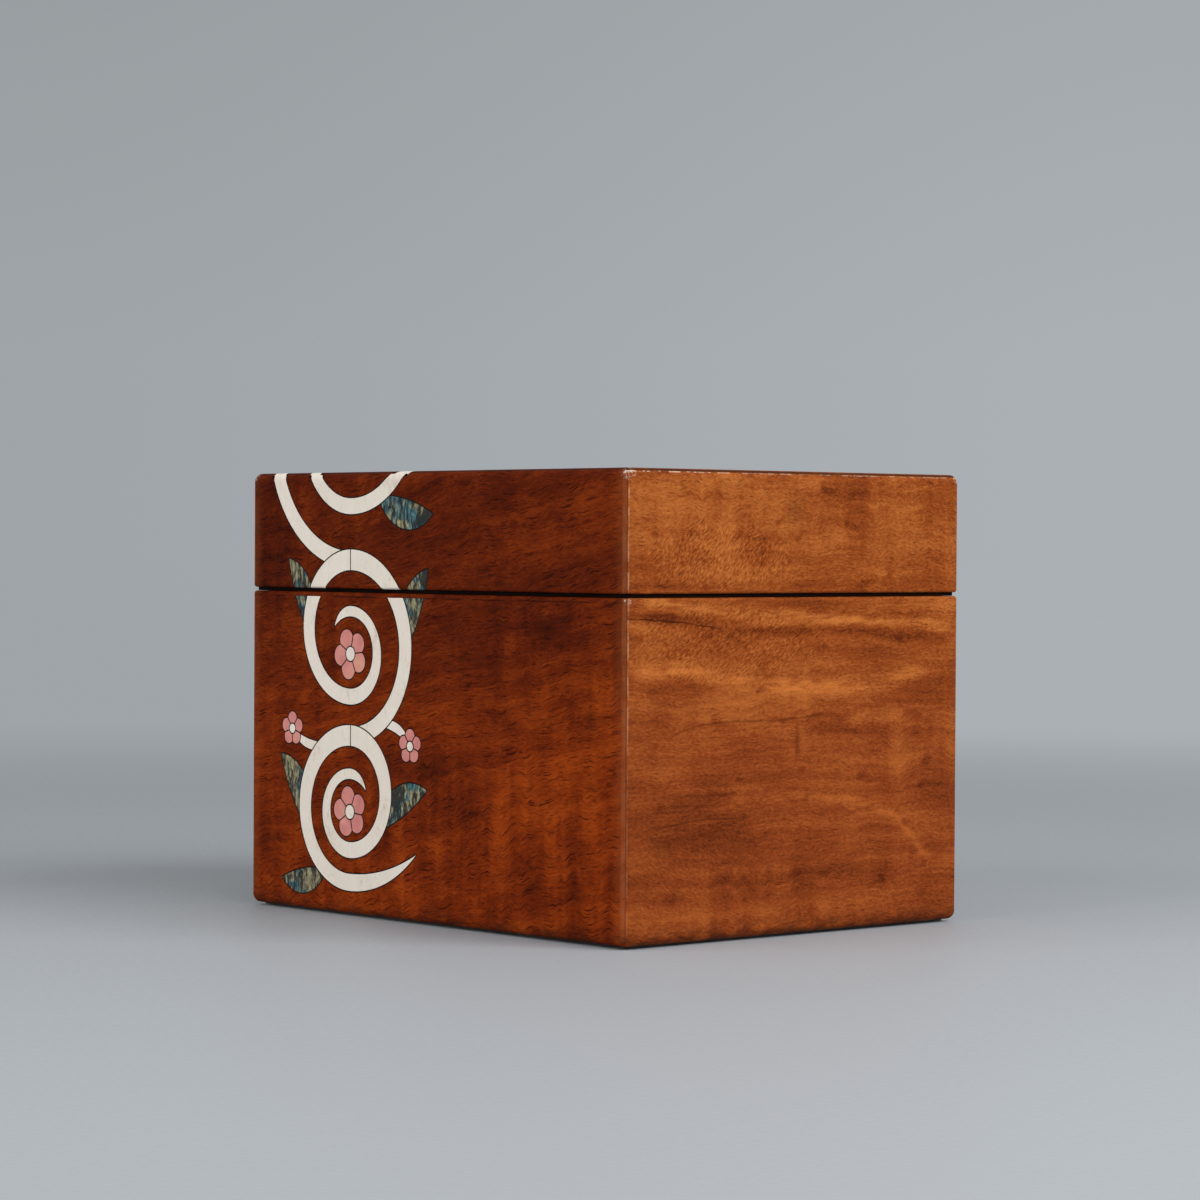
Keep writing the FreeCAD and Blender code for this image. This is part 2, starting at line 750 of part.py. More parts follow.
outer_x = "(box_length / 2 + sanding_allowance)"
outer_y = "(box_depth / 2 + sanding_allowance)"
ledge_x = "(box_length / 2 - wall_thickness + top_rebate - panel_play)"
ledge_y = "(box_depth / 2 - wall_thickness + top_rebate - panel_play)"
veneer_blank = padded("veneer_blank", [
    (f"-{outer_x}", outer_y),
    (f"-{outer_x}", f"-{outer_y}"),
    (f"-{ledge_x}", f"-{ledge_y}"),
    (ledge_x, f"-{ledge_y}"),
    (outer_x, f"-{outer_y}"),
    (outer_x, outer_y),
], "veneer_thickness + sanding_allowance", PANEL_TOP)
veneer_sanded = common("veneer_sanded", veneer_blank, lid_form)
keep(cut("veneer", veneer_sanded, top_recess), "lid_top_veneer")

keep(middle_block("felt", "box_length - 2 * felt_inset", "box_depth - 2 * felt_inset",
                  "felt_thickness", "0"), "base_felt")
lining_length = inside("box_length", "-lining_play")
lining_depth = inside("box_depth", "-lining_play")
keep(middle_block("floor_pad", lining_length, lining_depth, "floor_lining_thickness", FLOOR), "floor_lining")
keep(middle_block("lid_pad", lining_length, lining_depth, "lid_lining_thickness",
                  f"{PANEL_LOW} - lid_lining_thickness"), "lid_lining")


# Check and write every sub-part

doc.recompute()
for thing in doc.Objects:
    if "Invalid" in thing.State or "Error" in thing.State:
        raise RuntimeError(f"{thing.Label} is {thing.State}")
os.makedirs("parts", exist_ok=True)
for thing in parts:
    if thing.Shape.isNull() or not thing.Shape.isValid() or not thing.Shape.Solids:
        raise RuntimeError(f"{thing.Label} has no sound shape")
    thing.Shape.exportStep(f"parts/{thing.Label}.step")
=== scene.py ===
import json
import math

import bmesh
import bpy
from mathutils import Matrix, Vector, noise


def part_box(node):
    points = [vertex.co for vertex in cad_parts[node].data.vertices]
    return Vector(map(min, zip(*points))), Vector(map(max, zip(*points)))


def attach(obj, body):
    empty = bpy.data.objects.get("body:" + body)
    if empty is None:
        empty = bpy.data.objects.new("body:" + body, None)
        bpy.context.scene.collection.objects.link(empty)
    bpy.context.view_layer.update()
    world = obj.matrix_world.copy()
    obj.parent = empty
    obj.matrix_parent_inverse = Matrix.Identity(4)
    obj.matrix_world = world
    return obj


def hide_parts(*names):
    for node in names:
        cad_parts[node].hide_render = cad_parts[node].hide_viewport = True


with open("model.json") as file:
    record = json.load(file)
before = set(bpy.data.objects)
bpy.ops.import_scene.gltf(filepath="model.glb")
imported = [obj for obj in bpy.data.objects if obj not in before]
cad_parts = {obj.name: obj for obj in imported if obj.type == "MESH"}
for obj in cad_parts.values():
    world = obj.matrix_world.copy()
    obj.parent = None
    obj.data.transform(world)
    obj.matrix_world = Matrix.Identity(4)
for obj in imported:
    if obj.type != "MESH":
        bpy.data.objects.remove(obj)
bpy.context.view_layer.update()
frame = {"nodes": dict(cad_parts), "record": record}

nodes = frame["nodes"]
scene = bpy.context.scene

# One millimetre in metres, and sizes of the box in millimetres

MM = 0.001
HALF_LENGTH = 85.0
HALF_DEPTH = 65.0
BOX_TOP = 130.0
EDGE_ROUND = 2.5
VENEER = 0.8

# Heights of the middle of the dark slot under the lid and of the fine line below it

SEAM = 95.35
LIP = 93.5

# Numbers of the colour sockets of a mix node

MIX_FIRST = 6
MIX_SECOND = 7
MIX_RESULT = 2


# Materials as joined nodes

class Surface:
    """One material whose look is worked out by joined nodes, with places in millimetres."""

    def __init__(self, name):
        self.material = bpy.data.materials.new(name)
        self.material.use_nodes = True
        self.tree = self.material.node_tree
        self.shader = self.tree.nodes["Principled BSDF"]
        self.output = self.tree.nodes["Material Output"]
        where = self.add("ShaderNodeTexCoord").outputs["Object"]
        self.point = self.vector("MULTIPLY", where, (1 / MM,) * 3)

    def add(self, kind, **settings):
        made = self.tree.nodes.new(kind)
        for name, value in settings.items():
            setattr(made, name, value)
        return made

    def put(self, socket, value):
        """Give a socket its own value, or join another socket to it."""
        if isinstance(value, bpy.types.NodeSocket):
            self.tree.links.new(value, socket)
        else:
            socket.default_value = value

    def maths(self, operation, *values, clamp=False):
        made = self.add("ShaderNodeMath", operation=operation, use_clamp=clamp)
        for socket, value in zip(made.inputs, values):
            self.put(socket, value)
        return made.outputs[0]

    def total(self, *values):
        result = values[0]
        for value in values[1:]:
            result = self.maths("ADD", result, value)
        return result

    def times(self, *values):
        result = values[0]
        for value in values[1:]:
            result = self.maths("MULTIPLY", result, value)
        return result

    def vector(self, operation, *values):
        made = self.add("ShaderNodeVectorMath", operation=operation)
        for socket, value in zip(made.inputs, values):
            self.put(socket, value)
        return made.outputs["Value" if operation in ("LENGTH", "DISTANCE", "DOT_PRODUCT") else "Vector"]

    def split(self, place):
        made = self.add("ShaderNodeSeparateXYZ")
        self.put(made.inputs[0], place)
        return list(made.outputs)

    def join(self, *values):
        made = self.add("ShaderNodeCombineXYZ")
        for socket, value in zip(made.inputs, values):
            self.put(socket, value)
        return made.outputs[0]

    def shrunk(self, place, *sizes):
        """A place measured in steps of the given sizes, so that a pattern gets that size."""
        return self.vector("MULTIPLY", place, tuple(1 / size for size in sizes))

    def noise(self, place, detail=2.0, rough=0.5, twist=0.0):
        made = self.add("ShaderNodeTexNoise")
        self.put(made.inputs["Vector"], place)
        made.inputs["Scale"].default_value = 1
        made.inputs["Detail"].default_value = detail
        made.inputs["Roughness"].default_value = rough
        made.inputs["Distortion"].default_value = twist
        return made.outputs[0]

    def swing(self, place, height, detail=1.0):
        """Noise that swings to both sides of nought."""
        return self.times(self.maths("SUBTRACT", self.noise(place, detail), 0.5), height)

    def cells(self, place):
        """The distance to the nearest scattered point, and that point's own random colour."""
        made = self.add("ShaderNodeTexVoronoi")
        self.put(made.inputs["Vector"], place)
        made.inputs["Scale"].default_value = 1
        return made.outputs["Distance"], made.outputs["Color"]

    def between(self, value, low, high, low_out=0.0, high_out=1.0):
        """A soft step from low to high."""
        made = self.add("ShaderNodeMapRange", interpolation_type="SMOOTHSTEP")
        for socket, number in zip(made.inputs, (value, low, high, low_out, high_out)):
            self.put(socket, number)
        return made.outputs[0]

    def blend(self, share, first, second):
        """The first colour, with a share of the second one in its place."""
        made = self.add("ShaderNodeMix", data_type="RGBA")
        self.put(made.inputs["Factor"], share)
        self.put(made.inputs[MIX_FIRST], opaque(first))
        self.put(made.inputs[MIX_SECOND], opaque(second))
        return made.outputs[MIX_RESULT]

    def colours(self, value, *stops):
        """A colour for each value, from (value, colour) stops."""
        made = self.add("ShaderNodeValToRGB")
        band = made.color_ramp
        band.interpolation = "LINEAR"
        while len(band.elements) < len(stops):
            band.elements.new(0.5)
        for element, (at, colour) in zip(band.elements, stops):
            element.position = at
            element.color = opaque(colour)
        self.put(made.inputs[0], value)
        return made.outputs[0]

    def curve(self, along, points):
        """The height at each place along a face of a smooth line through some points of it."""
        made = self.add("ShaderNodeFloatCurve")
        line = made.mapping.curves[0]
        for number, (at, level) in enumerate(points):
            spot = (at / (2 * HALF_LENGTH) + 0.5, level / BOX_TOP)
            if number < 2:
                line.points[number].location = spot
            else:
                line.points.new(*spot)
        made.mapping.update()
        self.put(made.inputs["Value"], self.total(self.times(along, 0.5 / HALF_LENGTH), 0.5))
        return self.times(made.outputs[0], BOX_TOP)

    def bump(self, height, depth):
        """A bent normal for a relief of the given depth in millimetres."""
        made = self.add("ShaderNodeBump")
        made.inputs["Strength"].default_value = 1
        made.inputs["Distance"].default_value = depth * MM
        self.put(made.inputs["Height"], height)
        return made.outputs[0]

    def finish(self, **inputs):
        """Fill the shader's sockets, whose names have spaces for underscores, and give the material."""
        for name, value in inputs.items():
            socket = self.shader.inputs[name.replace("_", " ")]
            self.put(socket, opaque(value) if name == "Base_Color" else value)
        return self.material


def opaque(colour):
    """A colour of three numbers gets a fourth, and a socket or a colour of four stays as it is."""
    if isinstance(colour, tuple) and len(colour) == 3:
        return (*colour, 1.0)
    return colour


# Figured wood

# Dark, middle and light tones, how they become colours, and where the low tones take over. The low tones
# are painted light: lighter on the front, for light bounced up from the floor, and darker on the right, for
# shade lower down.
RED_TONES = ((0.031, 0.0032, 0.0003), (0.104, 0.0113, 0.0007), (0.240, 0.0355, 0.0026))
# painted light: lighter tones for the lower front, for light bounced up from the floor
RED_BOUNCE_LIT_TONES = ((0.048, 0.0052, 0.0004), (0.166, 0.0195, 0.0012), (0.340, 0.0525, 0.0036))
GOLD_TONES = ((0.091, 0.0150, 0.0024), (0.230, 0.0490, 0.0078), (0.394, 0.1190, 0.0245))
# painted shade: darker tones for the lower part of the right face
RUST_SHADED_TONES = ((0.077, 0.0126, 0.0024), (0.199, 0.0386, 0.0072), (0.328, 0.0830, 0.0155))
BROWN_TONES = ((0.070, 0.0130, 0.0022), (0.210, 0.0430, 0.0060), (0.370, 0.0980, 0.0140))
TONE_STOPS = (0.08, 0.4, 0.74, 1.0)
TONE_SCALE = 0.8
BRIGHTER = 1.3
MIDDLE_TONE = 0.53
PAINTED_LOW_HEIGHTS = (92, 45)
PORE_SHADE = 0.45

# Pores: how much of its cell a pore fills, and the short pores' length, width and strength
PORE_FILL = 0.6
SHORT_LENGTH = 0.45
SHORT_WIDTH = 0.85
SHORT_STRENGTH = 0.7

# Pattern sizes in millimetres, along, across and through the grain
CLOUD_SIZE = (40, 24, 40)
BLOT_SIZE = (8, 4.5, 8)
RING_SIZE = (240, 4.5, 60)
LINE_SIZE = (24, 0.75, 6)
RIBBON_SIZE = (6, 42, 40)
RIBBON_FIELD_SIZE = (50, 34, 50)
CROWD_SIZE = (17, 10, 20)
SWIRL_SIZE = (60, 34, 60)
WAVER_SIZE = (11, 13, 30)
SMALL_WAVER_SIZE = (4, 5, 12)
PATCH_DEPTH = 14
FLECK_DEPTH = 4

# How far patterns move the tone, or the grain in millimetres
CLOUD_HEIGHT = 0.6
PATCH_HEIGHT = 0.55
RING_HEIGHT = 0.45
BLOT_HEIGHT = -0.14
WAVER_HEIGHT = 3.0
SMALL_WAVER_HEIGHT = 0.9
RIBBON_BEND = 6

# Ragged outlines: size of their pattern along X, Y and Z, and its height
RAGGED_SIZE = (5, 5, 3)
RAGGED_HEIGHT = 1.1

# Finish of the lacquer
WOOD_ROUGHNESS = 0.46
WOOD_RELIEF = 0.04
WOOD_SPECULAR = 0.035


def toned(s, tone, tones):
    """The wood's colour for a tone, from three tones and a brighter fourth one."""
    dark, middle, light = tones
    bright = tuple(BRIGHTER * channel for channel in light)
    stops = zip(TONE_STOPS, (dark, middle, light, bright))
    return s.colours(s.times(tone, TONE_SCALE), *stops)


def dashes(s, lay, length, width, share):
    """Short dark pores that lie along the grain."""
    gap, chance = s.cells(s.shrunk(lay, length / PORE_FILL, width / PORE_FILL, 4 * width))
    lot = s.split(chance)[0]
    return s.times(s.between(gap, 0.36, 0.14), s.between(lot, 1 - share, 1.15 - share))


def fine_grain(s, lay, fleck, pores, crowd):
    """Fine flecks of tone along the grain, and the dark pores among them."""
    flecks = s.noise(s.shrunk(lay, *fleck, FLECK_DEPTH), 2)
    length, width, share = pores
    long_pores = s.times(dashes(s, lay, length, width, share), crowd)
    short_pores = dashes(s, lay, SHORT_LENGTH * length, SHORT_WIDTH * width, share)
    short_pores = s.times(short_pores, SHORT_STRENGTH)
    return flecks, s.maths("MAXIMUM", long_pores, short_pores)


def turned(s, along, across, angle):
    """Places along and across a grain that leans by an angle."""
    cosine = math.cos(math.radians(angle))
    sine = math.sin(math.radians(angle))
    return (s.total(s.times(along, cosine), s.times(across, sine)),
            s.total(s.times(across, cosine), s.times(along, -sine)))


def spread(s, along, across, place, reach):
    """One in the middle of a ragged oval of a face, falling to nought at its edge."""
    off_a = s.maths("DIVIDE", s.maths("SUBTRACT", along, place[0]), reach[0])
    off_b = s.maths("DIVIDE", s.maths("SUBTRACT", across, place[1]), reach[1])
    away = s.vector("LENGTH", s.join(off_a, off_b, 0.0))
    ragged = s.total(away, s.swing(s.shrunk(s.point, *RAGGED_SIZE), RAGGED_HEIGHT, 3))
    return s.between(ragged, 1.0, 0.1)


def wood(name, grain, tones, shift, slope=0.0, swirl=9, painted_light_slope=0.0, contrast=1.0, painted_low_tones=None,
         ribbon_top=None, ribbon_height=0.8, patch=(10, 5), line_height=0.4, fleck=(1.3, 0.36),
         fleck_height=0.6, pores=(5.2, 0.4, 0.72), pore_depth=0.88, slants=(), streaks=(), marks=()):
    """Figured, lacquered wood: wavy grain with bands, ribbons, flecks and pores, and corners and edges with
    wear and painted light and shade; the tone may also be painted lighter or darker lower down and along
    the face, as light falls.
    """
    s = Surface(name)
    x, y, z = s.split(s.point)
    along, across, through = {"x": (x, z, y), "y": (y, z, x), "top": (x, y, z)}[grain]
    spot = s.vector("ADD", s.join(along, across, through), shift)

    def off(pattern, height):
        return s.times(s.maths("SUBTRACT", pattern, 0.5), height)

    waver = s.total(
        s.swing(s.shrunk(spot, *WAVER_SIZE), WAVER_HEIGHT, 2),
        s.swing(s.shrunk(spot, *SMALL_WAVER_SIZE), SMALL_WAVER_HEIGHT),
    )
    ribbons = s.noise(s.shrunk(spot, *RIBBON_SIZE), 2, 0.4)
    ribbon_field = s.between(s.noise(s.shrunk(spot, *RIBBON_FIELD_SIZE), 1), 0.4, 0.66)
    if ribbon_top:
        ribbon_field = s.maths("MAXIMUM", ribbon_field, s.between(across, ribbon_top, 0.6 * ribbon_top))
    ribbons = s.times(s.maths("SUBTRACT", ribbons, 0.5), ribbon_field)
    bent = s.total(
        across,
        s.times(along, slope),
        s.swing(s.shrunk(spot, *SWIRL_SIZE), swirl, 2),
        waver,
        s.times(ribbons, RIBBON_BEND),
    )
    lay = s.vector("ADD", s.join(along, bent, through), shift)

    crowd = s.between(s.noise(s.shrunk(spot, *CROWD_SIZE), 2), 0.34, 0.6, 0.45, 1.0)
    fine = fine_grain(s, lay, fleck, pores, crowd)
    level_share = 1.0
    fleck_share = fleck_height
    for angle, place, reach, boost in slants:
        down, over = turned(s, along, across, angle)
        leaning = s.vector("ADD", s.join(down, s.total(over, waver), through), shift)
        share = s.between(spread(s, along, across, place, reach), 0.1, 0.5)
        level_share = s.times(s.maths("SUBTRACT", 1.0, share), level_share)
        fleck_share = s.total(fleck_share, s.times(share, boost * fleck_height))
        fine = [
            s.total(first, s.times(s.maths("SUBTRACT", second, first), share))
            for first, second in zip(fine, fine_grain(s, leaning, fleck, pores, crowd))
        ]
    flecks, dark_pores = fine

    clouds = s.noise(s.shrunk(spot, *CLOUD_SIZE), 2, 0.5)
    patches = s.noise(s.shrunk(lay, *patch, PATCH_DEPTH), 3, 0.55)
    blots = s.between(s.noise(s.shrunk(spot, *BLOT_SIZE), 1), 0.38, 0.24)
    rings = s.noise(s.shrunk(lay, *RING_SIZE), 2, 0.5)
    lines = s.noise(s.shrunk(lay, *LINE_SIZE), 2, 0.6)
    figure = s.total(
        off(clouds, CLOUD_HEIGHT),
        off(patches, PATCH_HEIGHT),
        off(rings, RING_HEIGHT),
        s.times(off(lines, line_height), level_share),
        off(flecks, fleck_share),
        s.times(ribbons, ribbon_height),
        s.times(blots, BLOT_HEIGHT),
        *(change(s, along, across) for change in streaks),
    )
    # painted light: the tone may slope along the face, darker at the end where the light falls off
    tone = s.total(s.times(figure, contrast), s.times(along, painted_light_slope), MIDDLE_TONE)
    colour = toned(s, tone, tones)
    # painted light and shade: lower down on the face the colour turns to other tones, lighter or darker as
    # the light falls there
    if painted_low_tones:
        painted_low_share = s.between(across, *PAINTED_LOW_HEIGHTS)
        colour = s.blend(painted_low_share, colour, toned(s, tone, painted_low_tones))

    pore_colour = tuple(channel * PORE_SHADE for channel in tones[0])
    colour = s.blend(s.times(dark_pores, pore_depth), colour, pore_colour)
    for mark in marks:
        colour = s.blend(mark(s, along, across), colour, pore_colour)

    colour = wear_and_painted_light(s, colour, x, y, z)
    rough = s.total(WOOD_ROUGHNESS, s.times(clouds, 0.12), s.times(dark_pores, 0.15))
    height = s.total(s.times(lines, 0.2), s.times(dark_pores, -1.0))
    return s.finish(
        Base_Color=colour,
        Roughness=rough,
        Normal=s.bump(height, WOOD_RELIEF),
        Specular_IOR_Level=WOOD_SPECULAR,
    )


# Wear and painted light: colours, pattern sizes and places; the mitre is a share of the way across the
# rounding

# painted sheen on the front of the rounded corners
CORNER_SHEEN = (0.270, 0.0770, 0.0250)
EDGE_SHADOW = (0.060, 0.0140, 0.0050)
# rubbed bare wood, also standing for a painted highlight on the rounding
BARE_EDGE_AND_GLINT = (0.50, 0.27, 0.15)
BOTTOM_DARK = (0.028, 0.0090, 0.0040)
CHIPPED_EDGE = (0.62, 0.50, 0.40)
# painted shade for the wood inside the seam's slot
SLOT_SHADE = (0.003, 0.0015, 0.0010)
GLUE = (0.58, 0.43, 0.31)
VENEER_EDGE = (0.030, 0.0120, 0.0060)
PATCHY_SIZE = (2, 2, 5)
DARK_PATCH_SIZE = (7, 7, 2.5)
CRUMB_SIZE = (0.9, 0.9, 0.9)
DASH_SIZE = (2.2, 2.2, 1)
MITRE = 0.7
SHEEN_WIDTH = 6
BOTTOM_DARK_HEIGHTS = (7.0, 1.2)
CHIP_INSET = 0.6
CHIPS = ((BOX_TOP - 0.6, 3.1), (SEAM - 1.2, 1.5))


def wear_and_painted_light(s, colour, x, y, z):
    """Paint a sheen on the rounded corners, with a painted shadow line, rub them partly bare with a painted
    highlight, chip them, darken the walls in patches towards the bottom, paint shade into the seam's slot,
    and show the top's glue line.
    """
    side = s.maths("ABSOLUTE", x)
    front = s.maths("ABSOLUTE", y)
    round_x = s.maths("DIVIDE", s.maths("SUBTRACT", side, HALF_LENGTH - EDGE_ROUND), EDGE_ROUND, clamp=True)
    round_y = s.maths("DIVIDE", s.maths("SUBTRACT", front, HALF_DEPTH - EDGE_ROUND), EDGE_ROUND, clamp=True)
    patchy = s.noise(s.shrunk(s.point, *PATCHY_SIZE), 4, 0.65)
    # painted sheen: the front part of each rounded corner, and a little of the face beside it, is painted
    # lighter and more orange
    corner_sheen = s.total(
        s.times(s.between(side, HALF_LENGTH - SHEEN_WIDTH, HALF_LENGTH - EDGE_ROUND), 0.2),
        s.between(round_x, 0.0, 0.3, 0.0, 0.45),
    )
    corner_sheen_share = s.times(corner_sheen, s.between(round_y, MITRE, 0.74), s.between(patchy, 0.3, 0.65, 0.5, 1.1))
    colour = s.blend(corner_sheen_share, colour, CORNER_SHEEN)

    far_round = s.between(round_x, 0.55, 0.65)
    dark_line = s.times(s.between(round_y, MITRE, 0.72), s.between(round_y, 0.84, 0.78), far_round)
    colour = s.blend(s.times(dark_line, 0.5), colour, EDGE_SHADOW)
    # a thin pale line on each rounded corner, stronger higher up: partly rubbed bare wood and partly a
    # painted highlight
    rubbed_and_glint = s.times(
        s.between(round_y, 0.54, 0.6),
        s.between(round_y, 0.72, MITRE),
        s.between(patchy, 0.4, 0.6),
        far_round,
    )
    rub_and_glint_strength = s.between(z, 25, SEAM, 0.12, 0.55)
    colour = s.blend(s.times(rubbed_and_glint, rub_and_glint_strength), colour, BARE_EDGE_AND_GLINT)

    # the walls are painted darker in patches towards the bottom
    dark_patches = s.noise(s.shrunk(s.point, *DARK_PATCH_SIZE), 3, 0.6)
    bottom_darkening = s.times(s.between(z, *BOTTOM_DARK_HEIGHTS), s.between(dark_patches, 0.38, 0.62))
    colour = s.blend(s.times(bottom_darkening, 0.6), colour, BOTTOM_DARK)

    crumbs = s.noise(s.shrunk(s.point, *CRUMB_SIZE), 3, 0.6)
    for level, reach in CHIPS:
        corner = (HALF_LENGTH - CHIP_INSET, HALF_DEPTH - CHIP_INSET, level)
        near = s.vector("DISTANCE", s.join(side, front, z), corner)
        chipped = s.times(s.between(near, reach, 0.4 * reach), s.between(crumbs, 0.48, 0.6))
        colour = s.blend(s.times(chipped, 0.7), colour, CHIPPED_EDGE)

    inward_x = s.maths("SUBTRACT", HALF_LENGTH, side)
    inward_y = s.maths("SUBTRACT", HALF_DEPTH, front)
    inward = s.maths("MINIMUM", inward_x, inward_y)
    # painted shade: the wood inside the slot under the lid, in its rebate, is painted nearly black
    slot = s.times(
        s.between(inward, 0.35, 0.7),
        s.between(inward, 2.5, 1.9),
        s.between(z, SEAM - 0.58, SEAM - 0.48),
        s.maths("LESS_THAN", z, SEAM + 0.75),
    )
    colour = s.blend(s.times(slot, 0.97), colour, SLOT_SHADE)

    off_front = s.maths("GREATER_THAN", y, 1.0 - HALF_DEPTH)
    dashed = s.noise(s.shrunk(s.point, *DASH_SIZE), 3, 0.6)
    glue = s.times(
        s.between(z, BOX_TOP - VENEER - 0.45, BOX_TOP - VENEER - 0.2),
        s.maths("LESS_THAN", z, BOX_TOP - VENEER + 0.01),
        s.between(dashed, 0.48, 0.58),
        off_front,
    )
    near_corner = s.between(y, 10 - HALF_DEPTH, 45 - HALF_DEPTH, 0.75, 0.3)
    colour = s.blend(s.times(glue, near_corner), colour, GLUE)
    veneer_edge = s.times(
        s.maths("GREATER_THAN", z, BOX_TOP - VENEER),
        s.between(z, BOX_TOP - 0.05, BOX_TOP - 0.3),
        off_front,
    )
    return s.blend(s.times(veneer_edge, 0.8), colour, VENEER_EDGE)


# Marks on a face, each at places given as (along, up) in millimetres

STREAK_FADE = 8.0


def streak(points, width, rise):
    """A soft band through places of a face, as a rise or a fall of tone."""
    first = points[0][0]
    last = points[-1][0]

    def change(s, along, across):
        level = s.curve(along, points)
        away = s.maths("ABSOLUTE", s.maths("SUBTRACT", across, level))
        ragged = s.total(away, s.swing(s.shrunk(s.point, 8, 8, 5), 1.2 * width, 3))
        start = s.between(along, first, first + STREAK_FADE)
        end = s.between(along, last, last - STREAK_FADE)
        ends = s.times(start, end)
        broken = s.between(s.noise(s.shrunk(s.point, 10, 10, 1.8), 3, 0.65), 0.34, 0.62, 0.3, 1.15)
        return s.times(s.between(ragged, width, 0.0), ends, broken, rise)
    return change


def crack(points, width, depth):
    """A fine dark line through places of a face, broken here and there."""
    first = points[0][0]
    last = points[-1][0]

    def mark(s, along, across):
        level = s.total(s.curve(along, points), s.swing(s.shrunk(s.point, 6, 6, 6), 1.2, 2))
        away = s.maths("ABSOLUTE", s.maths("SUBTRACT", across, level))
        ends = s.times(s.between(along, first, first + 2), s.between(along, last, last - 6))
        broken = s.between(s.noise(s.shrunk(s.point, 5, 5, 5), 2), 0.3, 0.46, 0.5 * depth, depth)
        return s.times(s.between(away, width, 0.3 * width), ends, broken)
    return mark


def smudge(place, reach, depth):
    """A soft dark patch on a face."""
    def mark(s, along, across):
        return s.times(spread(s, along, across, place, reach), depth)
    return mark


def level_line(level, width, depth):
    """A fine, broken dark line at one height of a face."""
    def mark(s, along, across):
        away = s.maths("ABSOLUTE", s.maths("SUBTRACT", across, level))
        broken = s.between(s.noise(s.shrunk(s.point, 7, 7, 7), 2), 0.4, 0.56)
        return s.times(s.between(away, width, 0.3 * width), broken, depth)
    return mark


# painted light: the front turns lighter lower down, for light bounced up from the floor, and darker to the
# left, where its light falls off
front_wood = wood(
    "front_wood", "x", RED_TONES, (31, 7, 3), slope=-0.17, painted_light_slope=0.0008, painted_low_tones=RED_BOUNCE_LIT_TONES,
    ribbon_top=60,
    marks=(
        smudge((-39, 74), (9, 3.5), 0.5),
        smudge((52, 86), (10, 5), 0.35),
        smudge((32, 60), (12, 5), 0.3),
        smudge((2, 44), (9, 6), 0.35),
        smudge((70, 62), (9, 4), 0.3),
        level_line(LIP, 0.3, 0.7),
    ),
)
# painted shade: the right face turns to darker rust tones lower down
right_wood = wood(
    "right_wood", "y", GOLD_TONES, (11, 40, 90), swirl=6, contrast=1.3, painted_low_tones=RUST_SHADED_TONES,
    ribbon_height=0.5, patch=(24, 4.5), line_height=0.28, fleck=(1.2, 0.46), fleck_height=0.62,
    pores=(3.2, 0.36, 0.6), pore_depth=0.48,
    slants=(
        # angle in degrees, middle, reach, and by how much the flecks get stronger
        (32, (-28, 82), (52, 18), 0.6),
        (-20, (-40, 18), (38, 18), 0.1),
        (46, (-30, 106), (44, 14), 0.8),
    ),
    streaks=(
        streak(
            ((-36, 37.5), (-21, 38.9), (-5, 39.1), (23, 36.3), (36, 33.2), (48, 23), (57, 16)), 3.0, 0.24,
        ),
        streak(((-65, 74.2), (-42, 74.6), (-21, 70.7), (0, 70), (32, 70.2), (53, 74)), 3.6, 0.32),
        streak(((-62, 94), (-31, 90.9), (0, 89.5), (40, 87.5), (64, 85.5)), 2.6, 0.28),
        streak(((-62, 91), (-31, 87.1), (-15, 85.8), (12, 85.5), (40, 83.5), (64, 82)), 2.4, -0.18),
        streak(((16, 59.5), (30, 60.5), (50, 58)), 3.6, 0.24),
    ),
    marks=(
        crack(((-68, 89.0), (-47, 88.3), (-28, 85.8)), 0.3, 0.9),
        crack(((-50, 56.5), (-41, 59.4), (-27, 60.6), (-8, 60.7), (12, 62.4)), 0.45, 0.4),
        crack(((-56, 32), (-42, 33.8), (-18, 33.9)), 0.45, 0.45),
        smudge((-1, 54), (1.6, 7), 0.5),
        smudge((-46, 39), (6, 2), 0.25),
        smudge((-52, 27), (7, 4), 0.3),
        smudge((-2, 119), (6, 8), 0.3),
        smudge((-15, 107), (1.2, 1.2), 0.6),
    ),
)
left_wood = wood("left_wood", "y", BROWN_TONES, (57, 21, 34), slope=0.06)
back_wood = wood("back_wood", "x", RED_TONES, (120, 64, 77), slope=0.1, ribbon_top=50)
top_wood = wood("top_wood", "top", BROWN_TONES, (15, 88, 41), slope=0.1)
BOARDS = {
    "base_front_board": front_wood,
    "lid_front_rail": front_wood,
    "base_right_board": right_wood,
    "lid_right_rail": right_wood,
    "base_left_board": left_wood,
    "lid_left_rail": left_wood,
    "base_back_board": back_wood,
    "lid_back_rail": back_wood,
    "lid_top_veneer": top_wood,
    "lid_top_panel": top_wood,
}


def plain_wood():
    """The sanded wood of the panels and tongues inside."""
    s = Surface("plain_wood")
    lay = s.vector("ADD", s.point, (3, 5, 9))
    streaks = s.noise(s.shrunk(lay, 90, 2.4, 4), 4, 0.6)
    fibres = s.noise(s.shrunk(lay, 8, 0.4, 0.4), 2)
    tone = s.total(s.times(streaks, 0.7), s.times(fibres, 0.3))
    colour = s.colours(tone, (0.3, (0.26, 0.14, 0.06)), (0.7, (0.46, 0.28, 0.13)))
    return s.finish(Base_Color=colour, Roughness=s.total(0.6, s.times(fibres, 0.2)),
                    Normal=s.bump(fibres, 0.04))


# Shell, filler and brass

